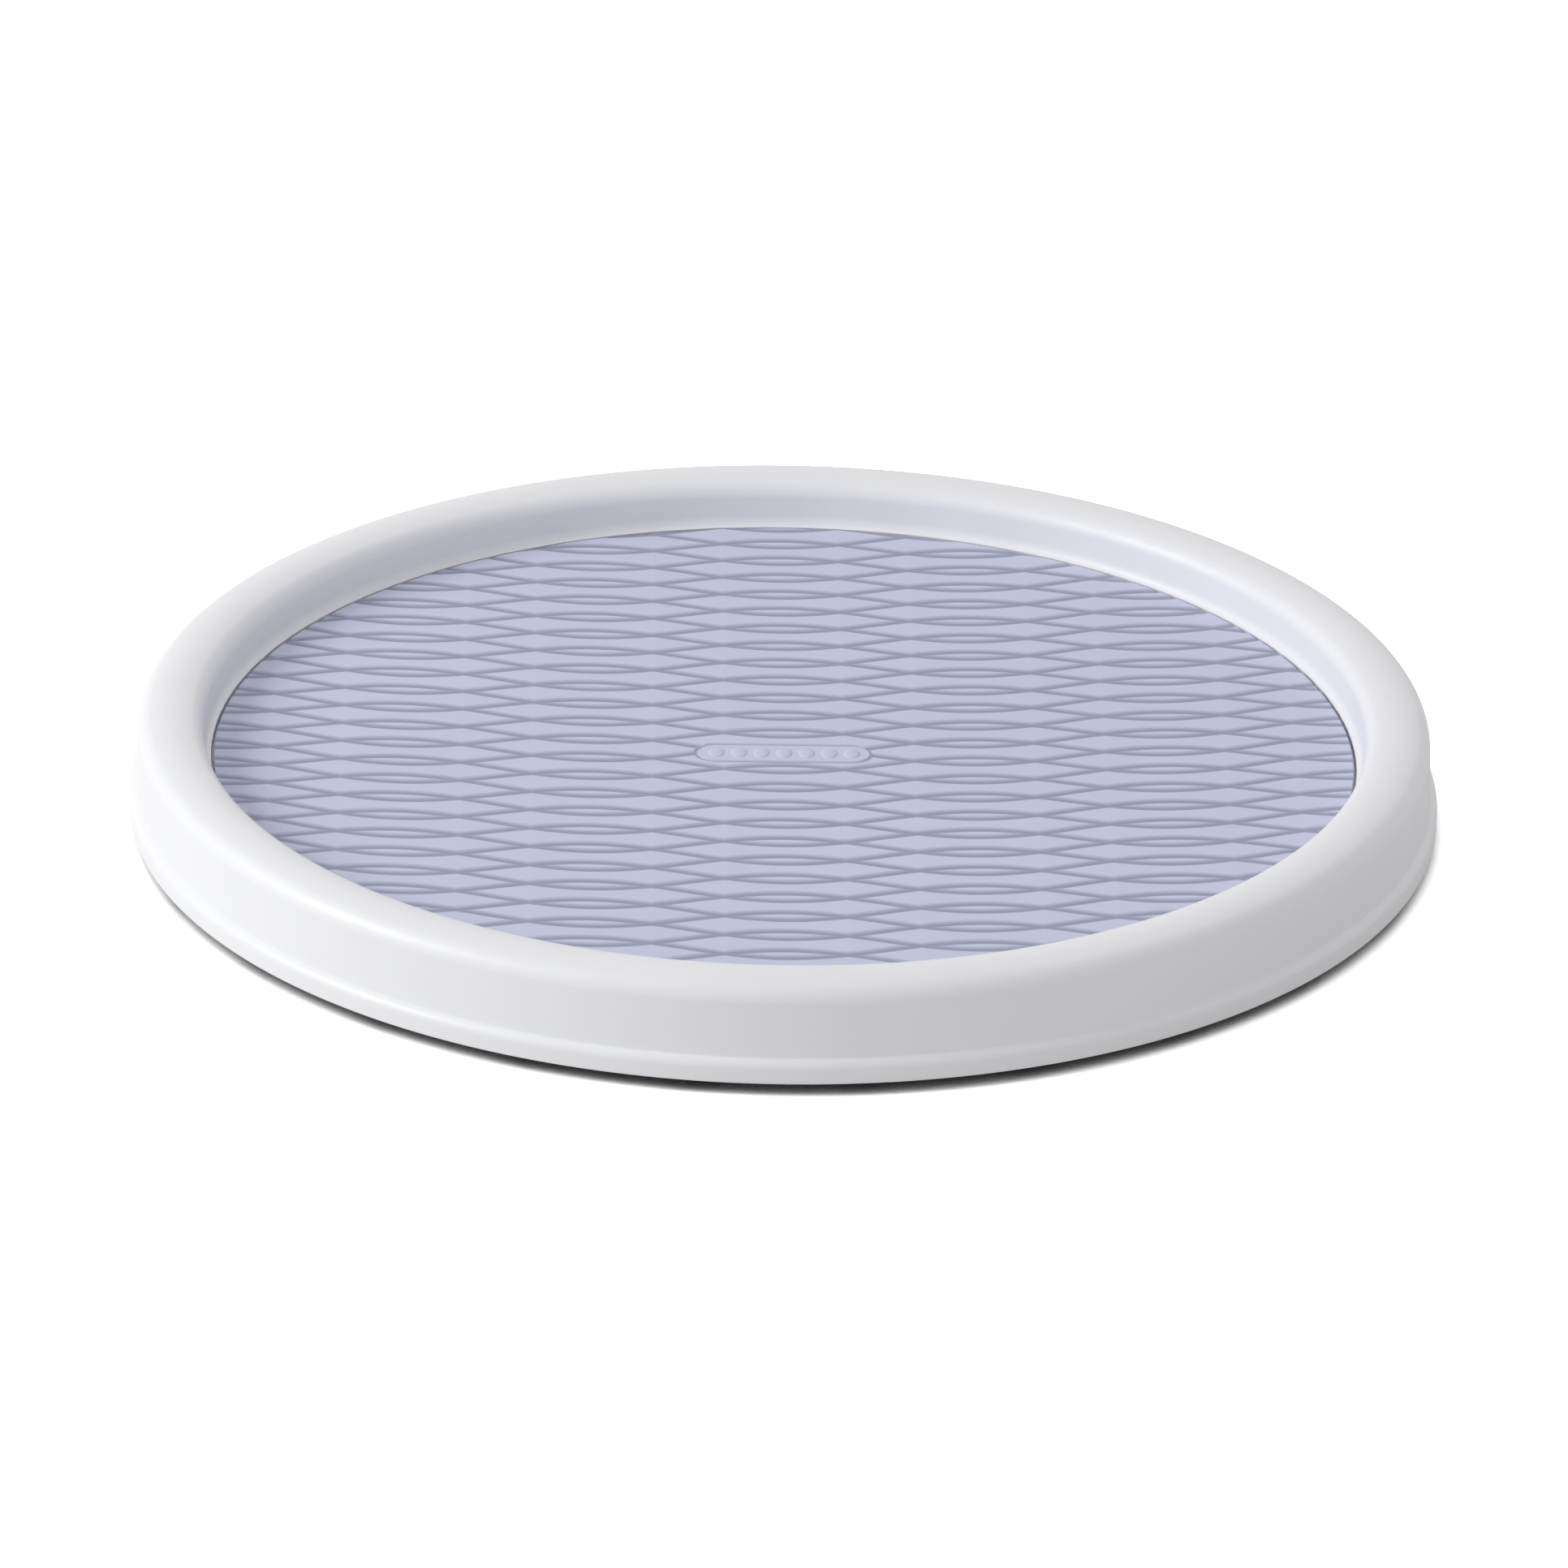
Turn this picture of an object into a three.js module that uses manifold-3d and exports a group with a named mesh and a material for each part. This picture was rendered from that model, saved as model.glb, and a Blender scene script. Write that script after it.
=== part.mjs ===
// Lazy susan turntable: a round tray with a soft mat turns on a ring of steel balls above a
// fixed base with rubber feet. Millimetres, +Z up. The origin is on the shelf under the
// turntable's centre, and everything turns about Z.

import * as THREE from "three";
import { mergeVertices } from "three/addons/utils/BufferGeometryUtils.js";
import Module from "manifold-3d";

const wasm = await Module();
wasm.setup();

// ---- driving dimensions -----------------------------------------------------------------

const ROUND_SEGMENTS = 48; // facets round the tray, mat, base and cage
const SMALL_SEGMENTS = 20; // facets round the hub, the feet and the screw
const GAP = 0.3; // air between pieces that touch

// Tray: outer skirt, crest and well. Radii are from the turning axis, heights from the shelf.
const LIP_RADIUS = 152.4; // a 12 inch turntable
const LIP_BOTTOM = 3.0;
const LIP_TOP = 7.0;
const LIP_EDGE_ROUND = 0.5;
const SKIRT_FOOT_RADIUS = 150.8;
const SKIRT_FOOT_HEIGHT = 9.6;
const SHOULDER_RADIUS = 150.3;
const CREST_TOP = 26.3;
const CREST_OUTER_ROUND = 4.4;
const CREST_INNER_ROUND = 4.0;
const CREST_INNER_RADIUS = 135.2; // the well's wall where the crest begins
const WALL_FOOT_RADIUS = 134.8;
const WALL_FILLET = 1.4;
const LEDGE_HEIGHT = 15.0; // the narrow ledge round the mat's recess
const RECESS_RADIUS = 133.4;
const SHELL = 2.2; // wall thickness of the moulded tray

// Mat
const MAT_RADIUS = 132.8;
const MAT_THICKNESS = 1.7;
const MAT_TOP = 15.2;
const WELL_FLOOR = MAT_TOP - MAT_THICKNESS - GAP;
const TRAY_UNDERSIDE = WELL_FLOOR - SHELL;

// Ball bearing
const BALL_COUNT = 18;
const BALL_RADIUS = 3.0;
const RACE_RADIUS = 100.0;
const BALL_CENTRE = 6.7;
const RACE_GROOVE = 3.4; // section radius of both grooves
const RACE_HALF_WIDTH = 6.0;
const LOWER_RACE_TOP = 4.2;
const UPPER_RACE_BOTTOM = 9.4;
const CAGE_HALF_WIDTH = 5.2;
const CAGE_THICKNESS = 1.6;
const POCKET_CLEARANCE = 0.45;

// Base
const BASE_RADIUS = 118.0;
const BASE_BOTTOM = 1.8;
const BASE_FLOOR = 3.6;
const BASE_WALL_TOP = 9.0;
const BASE_WALL = 1.8;
const HUB_DISC_RADIUS = 18.0;
const HUB_DISC_TOP = 4.6;
const HUB_RECESS_RADIUS = 13.0;
const HUB_RECESS_TOP = 2.7;
const SLEEVE_BORE = 9.0;
const SLEEVE_RADIUS = 11.0;

// Hub
const BOSS_RADIUS = 7.0;
const BOSS_BOTTOM = 2.7;
const THRUST_RING_RADIUS = 12.0;
const THRUST_RING_BOTTOM = 10.5;
const BUSHING_BORE = BOSS_RADIUS + 0.35;
const BUSHING_BOTTOM = 3.0;
const BUSHING_FLANGE_RADIUS = 11.5;
const BUSHING_FLANGE_TOP = THRUST_RING_BOTTOM - GAP;
const WASHER_RADIUS = 11.8;
const WASHER_THICKNESS = 0.65;
const WASHER_BORE = 2.1;
const SCREW_RADIUS = 1.6;
const SCREW_BORE = SCREW_RADIUS + 0.35;
const SCREW_TIP = 9.8;
const SCREW_BORE_TOP = 10.3;
const SCREW_HEAD_RADIUS = 4.2;
const SCREW_HEAD_HEIGHT = 0.8;
const SCREW_SLOT = { length: 4.4, width: 1.0, depth: 0.4 };

// Feet
const FOOT_COUNT = 6;
const FOOT_RADIUS = 7.0;
const FOOT_PITCH_RADIUS = 107.5;
const FOOT_RECESS_TOP = 2.4;
const FOOT_CHAMFER = 0.5;

// Stiffening ribs, each { count, inner, outer, bottom, top, thickness }
const TRAY_INNER_RIBS = { count: 12, inner: 11.5, outer: 94.6, bottom: 9.7, top: 11.4, thickness: 1.2 };
const TRAY_OUTER_RIBS = { count: 24, inner: 105.2, outer: 135.6, bottom: 9.9, top: 11.5, thickness: 1.2 };
const RIM_GUSSETS = { count: 24, inner: 136.2, outer: 149.0, bottom: 14.5, top: 24.7, thickness: 1.2 };
const BASE_INNER_RIBS = { count: 12, inner: 10.5, outer: 94.4, bottom: 3.2, top: 5.6, thickness: 1.6 };
const BASE_OUTER_RIBS = { count: 12, inner: 105.6, outer: 117.0, bottom: 3.3, top: 6.4, thickness: 1.6 };

// ---- shape helpers ----------------------------------------------------------------------

/** A solid of revolution about Z. The [radius, height] pairs run counter-clockwise. */
function revolve(profile, segments = ROUND_SEGMENTS) {
  const points = profile.map(([radius, height]) => new THREE.Vector2(radius, height));
  return new THREE.LatheGeometry(points, segments).rotateX(Math.PI / 2);
}

/** Points along an arc of a profile, with both ends. Angles are in degrees from outward. */
function arc(centreRadius, centreHeight, radius, from, to, steps) {
  return Array.from({ length: steps + 1 }, (_, step) => {
    const angle = THREE.MathUtils.degToRad(from + ((to - from) * step) / steps);
    return [centreRadius + radius * Math.cos(angle), centreHeight + radius * Math.sin(angle)];
  });
}

/** The ball groove of a flat race: an arc between the two points where it meets the flat. */
function grooveArc(centreHeight, flatHeight) {
  const half = Math.acos(Math.abs(flatHeight - centreHeight) / RACE_GROOVE) * THREE.MathUtils.RAD2DEG;
  const middle = flatHeight > centreHeight ? 90 : 270;
  return arc(RACE_RADIUS, centreHeight, RACE_GROOVE, middle + half, middle - half, 4);
}

function toSolid(geometry) {
  const bare = geometry.clone();
  bare.deleteAttribute("normal");
  bare.deleteAttribute("uv");
  const merged = mergeVertices(bare);
  const corners = merged.getIndex().array;
  const triangles = [];
  for (let i = 0; i < corners.length; i += 3) {
    const [a, b, c] = corners.slice(i, i + 3);
    if (a !== b && b !== c && c !== a) triangles.push(a, b, c);
  }
  const vertProperties = merged.getAttribute("position").array;
  const mesh = new wasm.Mesh({ numProp: 3, vertProperties, triVerts: new Uint32Array(triangles) });
  return new wasm.Manifold(mesh);
}

function toGeometry(solid) {
  const mesh = solid.getMesh();
  const geometry = new THREE.BufferGeometry();
  geometry.setAttribute("position", new THREE.BufferAttribute(mesh.vertProperties, 3));
  geometry.setIndex(new THREE.BufferAttribute(mesh.triVerts, 1));
  geometry.computeVertexNormals();
  return geometry;
}

/** Copies of a geometry turned about Z, evenly spaced from a first angle in degrees. */
function spread(geometry, count, firstAngle = 0) {
  return Array.from({ length: count }, (_, i) => {
    const angle = THREE.MathUtils.degToRad(firstAngle) + (i * 2 * Math.PI) / count;
    return toSolid(geometry.clone().rotateZ(angle));
  });
}

function radialRibs({ count, inner, outer, bottom, top, thickness }, firstAngle = 0) {
  const rib = new THREE.BoxGeometry(outer - inner, thickness, top - bottom);
  rib.translate((inner + outer) / 2, 0, (bottom + top) / 2);
  return spread(rib, count, firstAngle);
}

/** An upright cylinder between two heights, centred at a distance out along X. */
function post(radius, bottom, top, distance = 0, segments = SMALL_SEGMENTS) {
  const cylinder = new THREE.CylinderGeometry(radius, radius, top - bottom, segments);
  return cylinder.rotateX(Math.PI / 2).translate(distance, 0, (bottom + top) / 2);
}

const join = (solid, others) => others.reduce((whole, other) => whole.add(other), solid);
const cut = (solid, others) => others.reduce((rest, other) => rest.subtract(other), solid);

// ---- the pieces -------------------------------------------------------------------------

/** The moulded tray: boss, ribbed floor with the upper race, hollow rim, skirt and lip. */
function trayGeometry() {
  const innerRoundCentre = CREST_INNER_RADIUS + CREST_INNER_ROUND;
  const outerRoundCentre = SHOULDER_RADIUS - CREST_OUTER_ROUND;
  const innerRoundHeight = CREST_TOP - CREST_INNER_ROUND;
  const outerRoundHeight = CREST_TOP - CREST_OUTER_ROUND;
  const lipInside = LIP_RADIUS - SHELL;
  const grooveCentre = BALL_CENTRE + BALL_RADIUS + GAP - RACE_GROOVE;
  const profile = [
    [0, SCREW_BORE_TOP],
    [SCREW_BORE, SCREW_BORE_TOP],
    [SCREW_BORE, BOSS_BOTTOM],
    [BOSS_RADIUS, BOSS_BOTTOM],
    [BOSS_RADIUS, THRUST_RING_BOTTOM],
    [THRUST_RING_RADIUS, THRUST_RING_BOTTOM],
    [THRUST_RING_RADIUS, TRAY_UNDERSIDE],
    [RACE_RADIUS - RACE_HALF_WIDTH, TRAY_UNDERSIDE],
    [RACE_RADIUS - RACE_HALF_WIDTH, UPPER_RACE_BOTTOM],
    ...grooveArc(grooveCentre, UPPER_RACE_BOTTOM),
    [RACE_RADIUS + RACE_HALF_WIDTH, UPPER_RACE_BOTTOM],
    [RACE_RADIUS + RACE_HALF_WIDTH, TRAY_UNDERSIDE],
    [WALL_FOOT_RADIUS + SHELL, TRAY_UNDERSIDE],
    ...arc(innerRoundCentre, innerRoundHeight, CREST_INNER_ROUND - SHELL, 180, 90, 2),
    ...arc(outerRoundCentre, outerRoundHeight, CREST_OUTER_ROUND - SHELL, 90, 0, 2),
    [SKIRT_FOOT_RADIUS - SHELL, SKIRT_FOOT_HEIGHT],
    [lipInside, LIP_TOP],
    [lipInside, LIP_BOTTOM],
    [LIP_RADIUS - LIP_EDGE_ROUND, LIP_BOTTOM],
    [LIP_RADIUS, LIP_BOTTOM + LIP_EDGE_ROUND],
    [LIP_RADIUS, LIP_TOP],
    [LIP_RADIUS - LIP_EDGE_ROUND, LIP_TOP + LIP_EDGE_ROUND],
    [SKIRT_FOOT_RADIUS, SKIRT_FOOT_HEIGHT],
    ...arc(outerRoundCentre, outerRoundHeight, CREST_OUTER_ROUND, 0, 90, 4),
    ...arc(innerRoundCentre, innerRoundHeight, CREST_INNER_ROUND, 90, 180, 4),
    ...arc(WALL_FOOT_RADIUS - WALL_FILLET, LEDGE_HEIGHT + WALL_FILLET, WALL_FILLET, 0, -90, 2),
    [RECESS_RADIUS, WELL_FLOOR],
    [0, WELL_FLOOR],
  ];
  const ribs = [...radialRibs(TRAY_INNER_RIBS, 15), ...radialRibs(TRAY_OUTER_RIBS), ...radialRibs(RIM_GUSSETS)];
  return toGeometry(join(toSolid(revolve(profile)), ribs));
}

/** The soft mat in the well's recess. */
function matGeometry() {
  const edgeRound = 0.4;
  return revolve([
    [0, MAT_TOP - MAT_THICKNESS],
    [MAT_RADIUS, MAT_TOP - MAT_THICKNESS],
    [MAT_RADIUS, MAT_TOP - edgeRound],
    [MAT_RADIUS - edgeRound, MAT_TOP],
    [0, MAT_TOP],
  ]);
}

/** The base dish: hub sleeve, lower race, ribs, outer wall and recesses for the feet. */
function baseGeometry() {
  const edge = 0.8;
  const wallInside = BASE_RADIUS - BASE_WALL;
  const grooveCentre = BALL_CENTRE - BALL_RADIUS - GAP + RACE_GROOVE;
  const profile = [
    [SLEEVE_BORE, HUB_RECESS_TOP],
    [HUB_RECESS_RADIUS, HUB_RECESS_TOP],
    [HUB_RECESS_RADIUS, BASE_BOTTOM],
    [BASE_RADIUS - edge, BASE_BOTTOM],
    [BASE_RADIUS, BASE_BOTTOM + edge],
    [BASE_RADIUS, BASE_WALL_TOP],
    [wallInside, BASE_WALL_TOP],
    [wallInside, BASE_FLOOR],
    [RACE_RADIUS + RACE_HALF_WIDTH, BASE_FLOOR],
    [RACE_RADIUS + RACE_HALF_WIDTH, LOWER_RACE_TOP],
    ...grooveArc(grooveCentre, LOWER_RACE_TOP),
    [RACE_RADIUS - RACE_HALF_WIDTH, LOWER_RACE_TOP],
    [RACE_RADIUS - RACE_HALF_WIDTH, BASE_FLOOR],
    [HUB_DISC_RADIUS, BASE_FLOOR],
    [HUB_DISC_RADIUS, HUB_DISC_TOP],
    [SLEEVE_RADIUS, HUB_DISC_TOP],
    [SLEEVE_RADIUS, BASE_WALL_TOP],
    [SLEEVE_BORE, BASE_WALL_TOP],
    [SLEEVE_BORE, HUB_RECESS_TOP],
  ];
  const ribs = [...radialRibs(BASE_INNER_RIBS, 15), ...radialRibs(BASE_OUTER_RIBS, 15)];
  const recess = post(FOOT_RADIUS + 0.35, 0, FOOT_RECESS_TOP, FOOT_PITCH_RADIUS);
  const bored = cut(join(toSolid(revolve(profile)), ribs), [toSolid(post(SLEEVE_BORE, 0, BASE_WALL_TOP + 1))]);
  return toGeometry(cut(bored, spread(recess, FOOT_COUNT, 30)));
}

/** The ring that spaces the balls, with one round pocket for each. */
function cageGeometry() {
  const low = BALL_CENTRE - CAGE_THICKNESS / 2;
  const high = BALL_CENTRE + CAGE_THICKNESS / 2;
  const ring = revolve([
    [RACE_RADIUS - CAGE_HALF_WIDTH, low],
    [RACE_RADIUS + CAGE_HALF_WIDTH, low],
    [RACE_RADIUS + CAGE_HALF_WIDTH, high],
    [RACE_RADIUS - CAGE_HALF_WIDTH, high],
    [RACE_RADIUS - CAGE_HALF_WIDTH, low],
  ]);
  const pocket = post(BALL_RADIUS + POCKET_CLEARANCE, low - 1, high + 1, RACE_RADIUS, 12);
  return toGeometry(cut(toSolid(ring), spread(pocket, BALL_COUNT)));
}

/** The flanged plain bushing between the base's sleeve and the tray's boss. */
function bushingGeometry() {
  const outside = SLEEVE_BORE - GAP;
  return revolve(
    [
      [BUSHING_BORE, BUSHING_BOTTOM],
      [outside, BUSHING_BOTTOM],
      [outside, BASE_WALL_TOP + GAP],
      [BUSHING_FLANGE_RADIUS, BASE_WALL_TOP + GAP],
      [BUSHING_FLANGE_RADIUS, BUSHING_FLANGE_TOP],
      [BUSHING_BORE, BUSHING_FLANGE_TOP],
      [BUSHING_BORE, BUSHING_BOTTOM],
    ],
    ROUND_SEGMENTS,
  );
}

function washerGeometry() {
  const top = BOSS_BOTTOM - GAP;
  const bottom = top - WASHER_THICKNESS;
  return revolve(
    [
      [WASHER_BORE, bottom],
      [WASHER_RADIUS, bottom],
      [WASHER_RADIUS, top],
      [WASHER_BORE, top],
      [WASHER_BORE, bottom],
    ],
    SMALL_SEGMENTS,
  );
}

/** The truss-head screw, head down, with a cross recess. */
function screwGeometry() {
  const underHead = BOSS_BOTTOM - 2 * GAP - WASHER_THICKNESS;
  const headFace = underHead - SCREW_HEAD_HEIGHT;
  const screw = revolve(
    [
      [0, headFace],
      [SCREW_HEAD_RADIUS * 0.55, headFace],
      [SCREW_HEAD_RADIUS * 0.88, headFace + SCREW_HEAD_HEIGHT * 0.4],
      [SCREW_HEAD_RADIUS, underHead],
      [SCREW_RADIUS, underHead],
      [SCREW_RADIUS, SCREW_TIP - SCREW_RADIUS],
      [SCREW_RADIUS * 0.4, SCREW_TIP],
      [0, SCREW_TIP],
    ],
    SMALL_SEGMENTS,
  );
  const slot = new THREE.BoxGeometry(SCREW_SLOT.length, SCREW_SLOT.width, 2 * SCREW_SLOT.depth);
  slot.translate(0, 0, headFace);
  return toGeometry(cut(toSolid(screw), [toSolid(slot), toSolid(slot.clone().rotateZ(Math.PI / 2))]));
}

function footGeometry() {
  const top = FOOT_RECESS_TOP - GAP;
  return revolve(
    [
      [0, 0],
      [FOOT_RADIUS - FOOT_CHAMFER, 0],
      [FOOT_RADIUS, FOOT_CHAMFER],
      [FOOT_RADIUS, top],
      [0, top],
    ],
    SMALL_SEGMENTS,
  );
}

// ---- the assembly -----------------------------------------------------------------------

const LOOKS = {
  whitePlastic: { color: 0xf4f4f2, roughness: 0.4, metalness: 0 },
  lavenderMat: { color: 0xc4c7dc, roughness: 0.7, metalness: 0 },
  cagePlastic: { color: 0xd9dadb, roughness: 0.5, metalness: 0 },
  bearingPlastic: { color: 0xe6e2d6, roughness: 0.35, metalness: 0 },
  steel: { color: 0xc9ccd0, roughness: 0.2, metalness: 1 },
  rubber: { color: 0x9a9ca6, roughness: 0.8, metalness: 0 },
};

function addPiece(parent, name, geometry, look) {
  const mesh = new THREE.Mesh(geometry, new THREE.MeshStandardMaterial(look));
  mesh.name = name;
  parent.add(mesh);
  return mesh;
}

/** Places a mesh at a distance from the axis and turns it to face outwards. */
function placeRound(mesh, distance, angle, height = 0) {
  mesh.position.set(distance * Math.cos(angle), distance * Math.sin(angle), height);
  mesh.rotation.z = angle;
}

const turntable = new THREE.Group();
const standing = new THREE.Group(); // what stays still on the shelf
const rolling = new THREE.Group(); // the cage and its balls
const turning = new THREE.Group(); // what turns with the tray
turntable.add(standing, rolling, turning);

addPiece(turning, "tray", trayGeometry(), LOOKS.whitePlastic);
addPiece(turning, "non_skid_mat", matGeometry(), LOOKS.lavenderMat);
addPiece(turning, "retaining_washer", washerGeometry(), LOOKS.steel);
addPiece(turning, "centre_screw", screwGeometry(), LOOKS.steel);

addPiece(standing, "base", baseGeometry(), LOOKS.whitePlastic);
addPiece(standing, "hub_bushing", bushingGeometry(), LOOKS.bearingPlastic);
for (let i = 0; i < FOOT_COUNT; i += 1) {
  const foot = addPiece(standing, `foot_${i + 1}`, footGeometry(), LOOKS.rubber);
  placeRound(foot, FOOT_PITCH_RADIUS, Math.PI / 6 + (i * 2 * Math.PI) / FOOT_COUNT);
}

addPiece(rolling, "ball_cage", cageGeometry(), LOOKS.cagePlastic);
for (let i = 0; i < BALL_COUNT; i += 1) {
  const name = `ball_${String(i + 1).padStart(2, "0")}`;
  const ball = addPiece(rolling, name, new THREE.SphereGeometry(BALL_RADIUS, 12, 7), LOOKS.steel);
  placeRound(ball, RACE_RADIUS, (i * 2 * Math.PI) / BALL_COUNT, BALL_CENTRE);
}

export default turntable;
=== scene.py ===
# %% [markdown]
# # A lazy susan turntable
#
# A low white tray with a raised rim and a soft lavender mat turns on a ring of steel balls
# above a fixed base, so that whatever stands on it can be brought round to the front.
# The CAD model gives every piece its place, its size and the body it moves with. This
# notebook builds the fine surfaces around it, one piece at a time: first the shape, then
# the finish. The frame is in metres. Outlines are written in millimetres, as a mould
# maker's drawing is, and turned into metres in one place.

from math import acos, asin, cos, pi, radians, sin, sqrt, tau

import bmesh
import bpy
import numpy as np
from mathutils import Matrix, Vector


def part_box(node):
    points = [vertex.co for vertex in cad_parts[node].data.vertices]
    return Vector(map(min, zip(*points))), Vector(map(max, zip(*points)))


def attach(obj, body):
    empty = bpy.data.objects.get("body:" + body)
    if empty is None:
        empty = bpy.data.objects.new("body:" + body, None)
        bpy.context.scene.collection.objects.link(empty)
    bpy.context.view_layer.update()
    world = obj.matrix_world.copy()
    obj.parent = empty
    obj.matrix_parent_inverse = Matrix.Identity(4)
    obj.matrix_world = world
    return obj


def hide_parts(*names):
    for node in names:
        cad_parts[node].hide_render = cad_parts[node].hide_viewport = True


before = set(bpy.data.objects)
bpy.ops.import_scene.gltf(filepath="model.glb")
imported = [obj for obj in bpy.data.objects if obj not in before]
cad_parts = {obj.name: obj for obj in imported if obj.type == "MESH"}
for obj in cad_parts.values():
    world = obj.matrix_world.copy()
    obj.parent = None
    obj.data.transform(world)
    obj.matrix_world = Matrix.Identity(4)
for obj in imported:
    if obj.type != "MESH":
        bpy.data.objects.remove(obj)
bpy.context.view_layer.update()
MM = 0.001

# %% [markdown]
# ## Measures from the CAD model
#
# Everything on a turntable is round, so a piece is known by a few radii and heights.
# Those that other pieces depend on are read from the CAD boxes, which keeps the fine
# model inside the CAD model whatever is changed there.


# %% Reading radii and heights
def radius_of(name):
    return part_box(name)[1].x / MM


def bottom_of(name):
    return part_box(name)[0].z / MM


def top_of(name):
    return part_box(name)[1].z / MM


LIP_RADIUS = radius_of("tray")
CREST_TOP = top_of("tray")
MAT_RADIUS = radius_of("non_skid_mat")
MAT_TOP = top_of("non_skid_mat")
MAT_BOTTOM = bottom_of("non_skid_mat")
BASE_RADIUS = radius_of("base")
BASE_BOTTOM = bottom_of("base")
BASE_TOP = top_of("base")
print("lip", LIP_RADIUS, "crest", CREST_TOP, "mat", MAT_RADIUS, MAT_TOP, "base", BASE_RADIUS)

# %% [markdown]
# ## Helpers for round pieces
#
# A lathe shape could be made with the Screw modifier or with Spin, but both leave a seam
# and doubled points on the axis to clean up. Writing the rings straight into a mesh gives
# a closed skin with its faces outwards. Smooth shading bends the light across a wide face
# when the next face is a narrow one, so each long straight stretch gets a ring close to
# both of its ends, as a modeller adds holding loops. Corners sharper than 32 degrees are
# marked sharp.

# %% Rounds in an outline
def arc(centre_radius, centre_height, radius, start, end, steps=8, tall=None):
    """Points round a corner, from one angle to another in degrees. With tall, the corner
    is part of an ellipse, radius wide and tall high."""
    angles = np.radians(np.linspace(start, end, steps + 1))
    tall = radius if tall is None else tall
    return [(centre_radius + radius * cos(a), centre_height + tall * sin(a)) for a in angles]


CORNERS = {
    "outer foot": (-1, 1, -90),
    "outer top": (-1, -1, 0),
    "inner top": (1, -1, 90),
    "inner foot": (1, 1, 180),
}


def corner(which, radius, height, size, steps=4):
    """A quarter round that takes the edge off the corner at (radius, height)."""
    sideways, upwards, start = CORNERS[which]
    middle = (radius + sideways * size, height + upwards * size)
    return arc(*middle, size, start, start + 90, steps)


def closed(*points):
    """An outline that ends where it starts, for a section that doesn't touch the axis."""
    return [*points, points[0]]


print("corner of 1 mm:", [(round(r, 2), round(z, 2)) for r, z in corner("outer top", 1, 1, 1, 2)])


# %% Turning an outline round the axis
ROUND = 256
HOLD = 0.5
SHARP = radians(32)


def held(outline):
    """Adds a holding point near both ends of each long straight stretch."""
    points = []
    for (r0, z0), (r1, z1) in zip(outline, outline[1:]):
        length = sqrt((r1 - r0) ** 2 + (z1 - z0) ** 2)
        points.append((r0, z0))
        if length > 3 * HOLD:
            for share in (HOLD / length, 1 - HOLD / length):
                points.append((r0 + (r1 - r0) * share, z0 + (z1 - z0) * share))
    return points + [outline[-1]]


def shaded(mesh):
    """Smooth shading with sharp corners kept."""
    mesh.polygons.foreach_set("use_smooth", [True] * len(mesh.polygons))
    mesh.set_sharp_from_angle(angle=SHARP)
    mesh.update()


def in_the_scene(name, data):
    made = bpy.data.objects.new(name, data)
    bpy.context.scene.collection.objects.link(made)
    return made


def revolve(name, outline, segments=ROUND):
    """A closed solid of revolution about Z from a counter-clockwise outline of
    (radius, height) points. It starts and ends on the axis, or on the same point."""
    points = held(outline)
    ring_section = points[0] == points[-1] and points[0][0] > 0
    if ring_section:
        points = points[:-1]
    turns = [(cos(tau * j / segments), sin(tau * j / segments)) for j in range(segments)]
    verts, rings, faces = [], [], []
    for radius, height in points:
        first = len(verts)
        if radius < 1e-9:
            verts.append((0, 0, height * MM))
            rings.append([first] * segments)
        else:
            verts += [(radius * x * MM, radius * y * MM, height * MM) for x, y in turns]
            rings.append(list(range(first, first + segments)))
    pairs = list(zip(rings, rings[1:]))
    if ring_section:
        pairs.append((rings[-1], rings[0]))
    for low, high in pairs:
        for j in range(segments):
            k = (j + 1) % segments
            face = dict.fromkeys((low[j], low[k], high[k], high[j]))
            if len(face) > 2:
                faces.append(tuple(face))
    mesh = bpy.data.meshes.new(name)
    mesh.from_pydata(verts, [], faces)
    shaded(mesh)
    return in_the_scene(name, mesh)


# %% [markdown]
# ## Helpers for node trees
#
# The same short helper places nodes in geometry trees and in materials. An input takes
# either a plain value or the output of another node, which is then linked.


# %% Nodes, links and sockets
def add(tree, kind, inputs=None, **settings):
    """Adds a node, with its settings and its inputs by name or number."""
    made = tree.nodes.new(kind)
    for name, value in settings.items():
        setattr(made, name, value)
    for name, value in (inputs or {}).items():
        if isinstance(value, bpy.types.NodeSocket):
            tree.links.new(value, made.inputs[name])
        else:
            made.inputs[name].default_value = value
    return made


def maths(tree, operation, *values):
    numbered = dict(enumerate(values))
    return add(tree, "ShaderNodeMath", numbered, operation=operation).outputs[0]


def vector(tree, x=0.0, y=0.0, z=0.0):
    return add(tree, "ShaderNodeCombineXYZ", {"X": x, "Y": y, "Z": z}).outputs[0]


def geometry_tree(name, sizes):
    """A geometry tree with a mesh in, named sizes, a material, and a mesh out."""
    tree = bpy.data.node_groups.new(name, "GeometryNodeTree")
    face = tree.interface
    face.new_socket("Geometry", in_out="INPUT", socket_type="NodeSocketGeometry")
    for label, value in sizes.items():
        kind = "NodeSocketInt" if isinstance(value, int) else "NodeSocketFloat"
        face.new_socket(label, in_out="INPUT", socket_type=kind).default_value = value
    face.new_socket("Material", in_out="INPUT", socket_type="NodeSocketMaterial")
    face.new_socket("Geometry", in_out="OUTPUT", socket_type="NodeSocketGeometry")
    return tree, add(tree, "NodeGroupInput").outputs


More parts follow.
